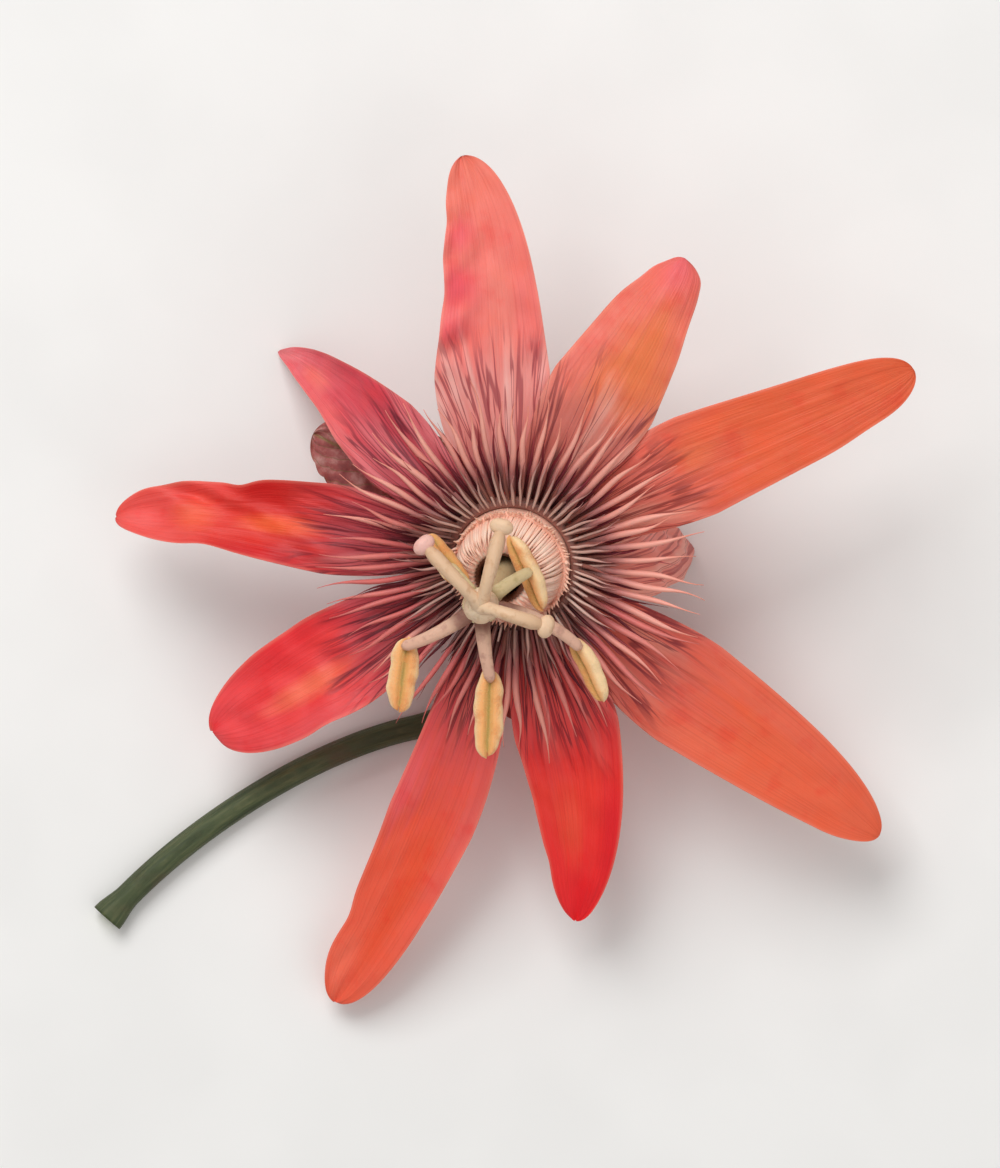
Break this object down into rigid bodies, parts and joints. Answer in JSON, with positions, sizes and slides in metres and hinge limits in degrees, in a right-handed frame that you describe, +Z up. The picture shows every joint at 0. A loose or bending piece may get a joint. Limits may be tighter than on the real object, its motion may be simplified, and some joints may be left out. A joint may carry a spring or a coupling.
{
  "type": "passion flower",
  "caption": "Open red passion flower with narrow sepals and petals, a ring of dark threads, hanging anthers and three-armed styles, picked with a length of stalk and laid face up.",
  "frame": {"origin": "on the surface the flower lies on, under the middle of its outline seen from above", "axes": "+Z up from the surface, the way the flower faces, +Y towards its longest upright sepal, which is the top of the picture, and +X to the right of the picture"},
  "size_m": [0.0979, 0.101, 0.0438],
  "materials": {
    "sepal": "satin",
    "petal": "satin",
    "bract": "satin",
    "cup": "satin",
    "dark_thread": "satin",
    "pale_thread": "satin",
    "operculum": "satin",
    "column": "satin",
    "anther": "matte",
    "pistil": "satin",
    "stalk": "satin"
  },
  "bodies": {
    "root": {"sepal_1": "sepal", "sepal_2": "sepal", "sepal_3": "sepal", "sepal_4": "sepal", "sepal_5": "sepal", "petal_1": "petal", "petal_2": "petal", "petal_3": "petal", "petal_4": "petal", "petal_5": "petal", "bract_1": "bract", "bract_2": "bract", "bract_3": "bract", "floral_cup": "cup", "outer_corona": "dark_thread", "inner_corona": "pale_thread", "operculum": "operculum", "column": "column", "anther_1": "anther", "anther_2": "anther", "anther_3": "anther", "anther_4": "anther", "anther_5": "anther", "pistil": "pistil", "stalk": "stalk"}
  },
  "joints": []
}
